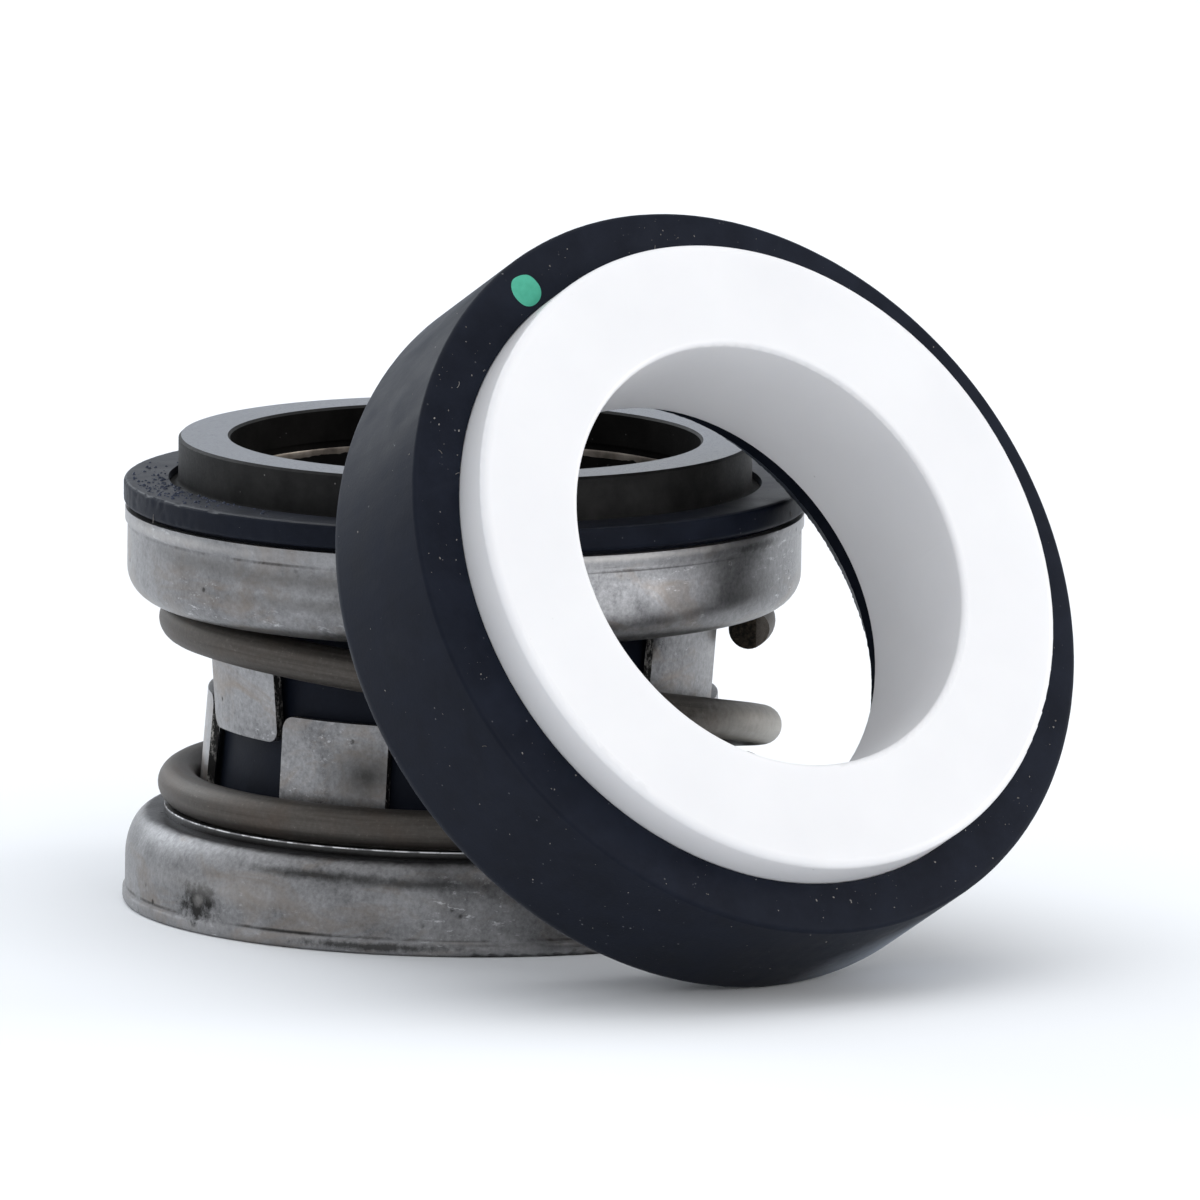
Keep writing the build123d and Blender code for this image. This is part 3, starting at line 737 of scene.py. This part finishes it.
def steel(name, marks, rim=None, edge=None, shaded_within=None, rough=0.27):
    """Pressed stainless steel: satin and blotchy, with pits, scuffs, stains and handling marks,
    and painted light, shade and reflections where the marks, rim, edge and inner shade put them.
    """
    look = Look(name)
    angle, radius, z = look.round_axis()
    unrolled = {0: look.times(angle, UNROLLED_R * MM), 1: z, 2: radius}
    wall = look.node("ShaderNodeCombineXYZ", unrolled).outputs[0]
    blotch = look.cloud(210.0, 6.0, 0.66, 0.5)
    drawn = look.cloud(900.0, 5.0, 0.7, 0.4, at=look.stretch(wall, 1.0, 0.4, 1.0))
    speckle = look.cloud(3300.0, 4.0, 0.75)
    tone = look.plus(look.reach(blotch, 0.34, 0.66, 0.0, 0.52),
                     look.reach(drawn, 0.32, 0.68, 0.0, 0.12),
                     look.reach(speckle, 0.3, 0.7, 0.0, 0.42))
    colour = look.mix(tone, STEEL_DARK, STEEL_LIGHT)
    stain = look.cloud(330.0, 5.0, 0.65, 1.0, at=look.stretch(wall, 0.45, 1.0, 1.0))
    colour = look.mix(look.reach(stain, 0.50, 0.70, 0.0, 0.7), colour, STEEL_BROWN)
    pits = look.times(look.reach(look.cells(640.0), 0.13, 0.06),
                      look.reach(look.cloud(330.0), 0.52, 0.6))
    colour = look.mix(look.times(pits, 0.8), colour, PIT)
    fine_scuff = look.cloud(2600.0, 5.0, 0.75, at=look.stretch(wall, 0.4, 1.0, 1.0))
    scuff = look.times(look.reach(fine_scuff, 0.58, 0.72),
                       look.reach(look.cloud(170.0, 3.0), 0.5, 0.62))
    colour = look.mix(look.times(scuff, 0.8), colour, STEEL_BARE)
    if rim:
        colour = add_rim(look, colour, z, stain, *rim)
    if edge:
        colour = add_edge_shade_and_highlight(look, colour, radius, z, *edge)
    if shaded_within:
        colour = add_inner_shade(look, colour, radius, shaded_within)
    colour = add_marks(look, colour, angle, z, marks)
    gloss = look.plus(look.reach(blotch, 0.3, 0.7, rough, rough + 0.16),
                      look.reach(look.cloud(6500.0, 3.0, 0.7), 0.3, 0.7, -0.04, 0.06))
    gloss = look.plus(look.minus(gloss, look.times(scuff, 0.1)), look.times(pits, 0.3))
    height = look.plus(look.times(drawn, 0.7), look.times(speckle, 0.45), look.times(blotch, 1.8))
    height = look.minus(height, look.times(pits, 1.5))
    return look.shade(Base_Color=colour, Metallic=0.88, Specular_IOR_Level=0.4, Roughness=gloss,
                      Normal=look.bump(height, 0.55, 0.04))


def wire_steel():
    """Drawn spring wire: brown-grey, with fine streaks along it, and painted light on the coil's
    lower right bend.
    """
    look = Look("spring_wire")
    run = look.node("ShaderNodeTexCoord").outputs["UV"]
    streak = look.cloud(1.0, 5.0, 0.65, at=look.stretch(run, 0.12, 26.0, 1.0))
    fine = look.cloud(1.0, 3.0, 0.6, at=look.stretch(run, 0.5, 90.0, 1.0))
    grit = look.cloud(3600.0, 4.0, 0.75)
    colour = look.mix(look.reach(streak, 0.32, 0.68), WIRE_DARK, WIRE_LIGHT)
    rust = look.reach(look.cloud(240.0, 4.0, 0.6, 0.6), 0.5, 0.75, 0.0, 0.6)
    colour = look.mix(rust, colour, WIRE_RUST)
    colour = look.mix(look.reach(grit, 0.3, 0.7, 0.45, 0.0), colour, WIRE_GRIT)
    bare = look.times(look.reach(grit, 0.60, 0.74), look.reach(fine, 0.48, 0.6))
    colour = look.mix(bare, colour, WIRE_BARE)
    angle, _, z = look.round_axis()
    # painted light: the bend that light from the right reaches is painted paler
    worn = look.times(look.patch(angle, z, *WIRE_MARK), 0.7)
    height = look.plus(streak, look.times(fine, 0.5), grit)
    return look.shade(Base_Color=look.mix(worn, colour, WIRE_PAINTED_LIGHT), Metallic=0.85,
                      Roughness=look.reach(streak, 0.3, 0.7, 0.46, 0.60),
                      Normal=look.bump(height, 0.5, 0.03))


def sheared_steel():
    """The cut edges of the sheet: dark, with bright torn specks."""
    look = Look("sheared_steel")
    torn = look.cloud(2300.0, 4.0, 0.8, at=look.stretch(look.at, 1.0, 1.0, 0.5))
    colour = look.mix(look.reach(torn, 0.50, 0.68), CUT_DARK, CUT_BRIGHT)
    return look.shade(Base_Color=colour, Metallic=0.7, Roughness=0.45,
                      Normal=look.bump(torn, 0.8, 0.05))


def broken_steel():
    """The dark, grainy break of a sheared wire."""
    look = Look("broken_wire")
    grit = look.cloud(3800.0, 5.0, 0.8)
    colour = look.mix(look.reach(grit, 0.42, 0.72), BREAK_DARK, BREAK_LIGHT)
    return look.shade(Base_Color=colour, Metallic=0.5, Roughness=0.75,
                      Normal=look.bump(grit, 0.9, 0.1))


def rubber(name, dust_from, gloss, depth=1.0, floor_reflection=None, turned=None):
    """Moulded black rubber: faint navy, with fine grain, dust and pale scuffs. Dust lies where a
    cloud is over dust_from, and depth scales the colour. A patch given for the floor's
    reflection paints that reflection pale on the cup's outer side."""
    look = Look(name)
    mottle = look.cloud(330.0, 5.0, 0.6)
    dark, light = ([depth * c for c in shade] + [1] for shade in (RUBBER_DARK, RUBBER_LIGHT))
    colour = look.mix(look.reach(mottle, 0.35, 0.7), dark, light)
    dusty = look.times(look.reach(look.cells(2300.0), 0.17, 0.10),
                       look.reach(look.cloud(700.0, 3.0), dust_from, dust_from + 0.06))
    colour = look.mix(look.times(dusty, 0.35), colour, RUBBER_DUST)
    wiped = look.reach(look.cloud(120.0, 6.0, 0.7, 1.0), 0.56, 0.8, 0.0, 0.35)
    colour = look.mix(wiped, colour, RUBBER_WIPED)
    # painted reflection: the cup's outer side is painted pale where it would mirror the floor
    if floor_reflection:
        angle, radius, z = look.round_axis(turned)
        outside = look.reach(radius, FLOOR_REFLECTION_FROM_R * MM, (FLOOR_REFLECTION_FROM_R + 0.5) * MM)
        colour = look.mix(look.times(outside, look.patch(angle, z, *floor_reflection)), colour, RUBBER_FLOOR_REFLECTION)
    grain = look.cloud(5200.0, 3.0, 0.6)
    height = look.plus(look.times(grain, 0.5), look.times(mottle, 0.8), dusty)
    return look.shade(Base_Color=colour, Roughness=look.reach(mottle, 0.3, 0.7, 0.42, 0.56),
                      Specular_IOR_Level=gloss, Sheen_Weight=0.11, Sheen_Roughness=0.14,
                      Sheen_Tint=RUBBER_SHEEN, Normal=look.bump(height, 0.4, 0.04))


def carbon(name, dark, light, shine, rough):
    """Carbon graphite with fine grain and a few bright specks."""
    look = Look(name)
    grain = look.cloud(5200.0, 3.0, 0.7)
    colour = look.mix(look.reach(look.cloud(420.0, 6.0, 0.65), 0.35, 0.7), dark, light)
    bright = look.times(look.reach(look.cells(1500.0), 0.10, 0.05),
                        look.reach(look.cloud(500.0), 0.55, 0.62))
    colour = look.mix(look.times(bright, 0.6), colour, CARBON_SPECK)
    turning = look.cloud(9000.0, 2.0, at=look.stretch(look.at, 0.02, 0.02, 1.0))
    height = look.plus(look.times(grain, 0.5), look.times(turning, 0.3))
    return look.shade(Base_Color=colour, Specular_IOR_Level=shine,
                      Roughness=look.reach(grain, 0.3, 0.7, rough - 0.05, rough + 0.06),
                      Normal=look.bump(height, 0.35, 0.03))


def ceramic():
    """White alumina: fine, faintly translucent, with a few grey specks."""
    look = Look("ceramic")
    colour = look.mix(look.reach(look.cloud(160.0, 4.0, 0.5), 0.3, 0.7),
                      CERAMIC_DARK, CERAMIC_LIGHT)
    speck = look.times(look.reach(look.cells(520.0), 0.045, 0.02),
                       look.reach(look.cloud(210.0), 0.55, 0.6))
    colour = look.mix(look.times(speck, 0.5), colour, CERAMIC_SPECK)
    return look.shade(Base_Color=colour, Subsurface_Weight=0.35,
                      Roughness=look.reach(look.cloud(4000.0), 0.3, 0.7, 0.30, 0.40),
                      Subsurface_Radius=(1.0, 0.95, 0.9), Subsurface_Scale=1.2 * MM,
                      Normal=look.bump(look.cloud(7000.0, 2.0), 0.12, 0.02))


def paint():
    """Green marking paint."""
    look = Look("marking_paint")
    streak = look.cloud(2600.0, 4.0, at=look.stretch(look.at, 1.0, 0.4, 1.0))
    colour = look.mix(look.reach(streak, 0.3, 0.7), PAINT_DARK, PAINT_LIGHT)
    return look.shade(Base_Color=colour, Roughness=0.5, Normal=look.bump(streak, 0.3, 0.03))


def dust(name):
    """Pale dust and lint."""
    look = Look(name)
    colour = look.mix(look.reach(look.cloud(900.0), 0.35, 0.65), DUST_DARK, DUST_LIGHT)
    return look.shade(Base_Color=colour, Roughness=0.9)


def glint_edge():
    """Painted glint on the groove's lower lip: pale, brownish and uneven."""
    look = Look("glint_edge")
    uneven = look.reach(look.cloud(420.0, 4.0), 0.35, 0.65)
    colour = look.mix(uneven, GLINT_DARK, GLINT_LIGHT)
    return look.shade(Base_Color=colour, Metallic=0.6, Roughness=0.35)


def coat(obj, *materials):
    """Gives an object its materials; the first is on every face until others are put there."""
    obj.data.materials.clear()
    for material in materials:
        obj.data.materials.append(material)


def dress_tab_sides(node):
    """Puts the second material on the tabs' side faces, which face round the axis."""
    for polygon in node.data.polygons:
        x, y, _ = polygon.center
        if abs(polygon.normal.dot(Vector((-y, x, 0)).normalized())) > 0.8:
            polygon.material_index = 1


def ease_edges(obj):
    """Gives a pressed piece the small worn radii of real sheet edges."""
    weld = obj.modifiers.new("weld", "WELD")
    weld.merge_threshold = WELD_GAP * MM
    bevel = obj.modifiers.new("worn_edges", "BEVEL")
    bevel.width = EDGE_WEAR * MM
    bevel.segments = 2
    bevel.limit_method = "ANGLE"
    bevel.angle_limit = math.radians(WORN_FROM)
    bevel.use_clamp_overlap = True
    obj.modifiers.new("even_shading", "WEIGHTED_NORMAL").keep_sharp = True


def dress_shells():
    """The three pressed pieces."""
    nodes = frame["nodes"]
    retainer, band, holder = nodes["retainer"], nodes["drive_band"], nodes["spring_holder"]
    cut = sheared_steel()
    coat(retainer, steel("retainer_steel", RETAINER_MARKS, rim=RETAINER_RIM), cut)
    coat(band, steel("band_steel", BAND_MARKS, edge=BAND_EDGE), cut)
    coat(holder, steel("holder_steel", HOLDER_MARKS, rim=HOLDER_RIM,
                       shaded_within=HOLDER_SHADED_R, rough=0.36))
    dress_tab_sides(retainer)
    dress_tab_sides(band)
    for piece in (retainer, band, holder):
        ease_edges(piece)


def dress_ring():
    """Dark carbon all over; the lapped running face is glossier and painted lighter and bluer for
    the sky it reflects, and the bore is painted darker for the shade inside it.
    """
    ring = frame["nodes"]["primary_ring"]
    coat(ring, carbon("carbon", CARBON_DARK, CARBON_LIGHT, shine=0.10, rough=0.55),
         carbon("carbon_lapped_reflection", LAPPED_REFLECTION_DARK, LAPPED_REFLECTION_LIGHT, shine=0.8, rough=0.17),
         carbon("carbon_bore_shade", BORE_SHADE_DARK, BORE_SHADE_LIGHT, shine=0.03, rough=0.6))
    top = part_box("primary_ring")[1].z
    for polygon in ring.data.polygons:
        if polygon.center.z > top - LAPPED_BELOW * MM and polygon.normal.z > 0.9:
            polygon.material_index = 1
        elif polygon.normal.xy.dot(polygon.center.xy) < 0 and polygon.normal.z < 0.5:
            polygon.material_index = 2


def dress():
    """Gives every piece its material, and builds the pieces that stand for soft or worn parts, and
    the painted glint in the carbon ring's bore.
    """
    place = seat_matrix()
    dress_shells()
    dress_ring()
    coat(make_groove_glint(), glint_edge())
    coat(make_crumbs(), rubber("crumb_rubber", dust_from=0.62, gloss=0.2, depth=3.5))
    coat(frame["nodes"]["seat_ring"], ceramic())
    bellows = make_bellows()
    coat(bellows, rubber("bellows_rubber", dust_from=0.63, gloss=0.07),
         rubber("flange_rubber", dust_from=0.60, gloss=0.35))
    for polygon in bellows.data.polygons:
        on_top = polygon.center.z > (FLANGE_TOP - 0.15) * MM and polygon.normal.z > 0.7
        polygon.material_index = int(on_top)
    spring = make_spring()
    coat(spring, wire_steel(), broken_steel())
    for polygon in list(spring.data.polygons)[-3::2]:      # the broken part of each end
        polygon.material_index = 1
    coat(make_cup(place), rubber("cup_rubber", dust_from=0.62, gloss=0.075, depth=1.12,
                                 floor_reflection=CUP_FLOOR_REFLECTION, turned=place))
    coat(make_dot(place), paint())
    coat(make_cup_dust(place), dust("cup_dust"))
    coat(make_flange_dust(), dust("flange_dust"))


# ---- stage, in metres ------------------------------------------------------------------------
FOCAL = 601.7             # lens in millimetres for a 36 mm sensor
CAMERA_AT = Vector((0.00824, -1.2, 0.20557))
CAMERA_DOWN = math.radians(8.86)    # how far the camera looks down
CAMERA_ROLL = math.radians(0.65)
FLOOR_HALF = 2.0          # half the floor's width
FLOOR_FRONT = 2.4         # how far the floor comes forward
FLOOR_BACK = 0.96         # where it starts to curve up behind
FLOOR_RISE = 1.4          # radius of that curve
LIT = Vector((0.005, -0.01, 0.02))  # the point that every light looks at
LIGHTS = (                # name, place, width and height, watts, colour
    ("key", (0.35, -0.55, 0.60), (0.8, 0.7), 1.1, (1, 1, 1)),
    ("top", (-0.05, 0.10, 0.85), (0.9, 0.9), 2.3, (1, 1, 1)),
    ("left", (-0.80, -0.12, 0.35), (0.4, 0.5), 0.38, (0.95, 0.97, 1.0)),
    ("back_left", (-0.50, 0.50, 0.35), (0.5, 0.4), 2.0, (0.90, 0.95, 1.0)),
    ("right", (0.80, 0.06, 0.20), (0.35, 0.25), 1.8, (1.0, 0.97, 0.93)),
    ("front", (0.42, -0.90, 0.24), (0.4, 0.3), 1.3, (1.0, 0.98, 0.95)))
SKY = (0.93, 0.96, 1.0, 1)
SKY_STRENGTH = 0.75


def make_camera():
    """The camera at the photograph's viewing angle."""
    data = bpy.data.cameras.new("camera")
    data.sensor_width = 36.0
    data.lens = FOCAL
    data.clip_end = 10
    camera = bpy.data.objects.new("camera", data)
    bpy.context.scene.collection.objects.link(camera)
    ahead = Vector((0, math.cos(CAMERA_DOWN), -math.sin(CAMERA_DOWN)))
    up = Vector((0, math.sin(CAMERA_DOWN), math.cos(CAMERA_DOWN)))
    right = Vector((1, 0, 0))
    rolled_right = right * math.cos(CAMERA_ROLL) + up * math.sin(CAMERA_ROLL)
    rolled_up = up * math.cos(CAMERA_ROLL) - right * math.sin(CAMERA_ROLL)
    matrix = Matrix((rolled_right, rolled_up, -ahead)).transposed().to_4x4()
    matrix.translation = CAMERA_AT
    camera.matrix_world = matrix
    bpy.context.scene.camera = camera


def make_floor():
    """A plain pale floor, curving up far behind the object."""
    rows = [(-FLOOR_FRONT, 0.0), (0.0, 0.0), (FLOOR_BACK, 0.0)]
    for t in range(9, 91, 9):
        a = math.radians(t)
        rows.append((FLOOR_BACK + FLOOR_RISE * math.sin(a), FLOOR_RISE * (1 - math.cos(a))))
    points = [(x / MM, y / MM, z / MM) for y, z in rows for x in (-FLOOR_HALF, FLOOR_HALF)]
    faces = [(2 * i, 2 * i + 1, 2 * i + 3, 2 * i + 2) for i in range(len(rows) - 1)]
    floor = mesh_object("floor", points, faces)
    look = Look("floor")
    colour = look.mix(look.cloud(6.0), FLOOR_DARK, FLOOR_LIGHT)
    coat(floor, look.shade(Base_Color=colour, Roughness=0.8))


def make_lights():
    """Soft studio light from all round, and an even sky."""
    for name, at, size, power, colour in LIGHTS:
        data = bpy.data.lights.new(name, "AREA")
        data.shape = "RECTANGLE"
        data.size, data.size_y = size
        data.energy = power
        data.color = colour
        light = bpy.data.objects.new(name, data)
        bpy.context.scene.collection.objects.link(light)
        light.location = at
        light.rotation_euler = (LIT - Vector(at)).to_track_quat("-Z", "Y").to_euler()
    world = bpy.data.worlds.new("studio")
    bpy.context.scene.world = world
    world.use_nodes = True
    background = world.node_tree.nodes["Background"]
    background.inputs[0].default_value = SKY
    background.inputs[1].default_value = SKY_STRENGTH
    bpy.context.scene.view_settings.view_transform = "Standard"


dress()
make_camera()
make_floor()
make_lights()
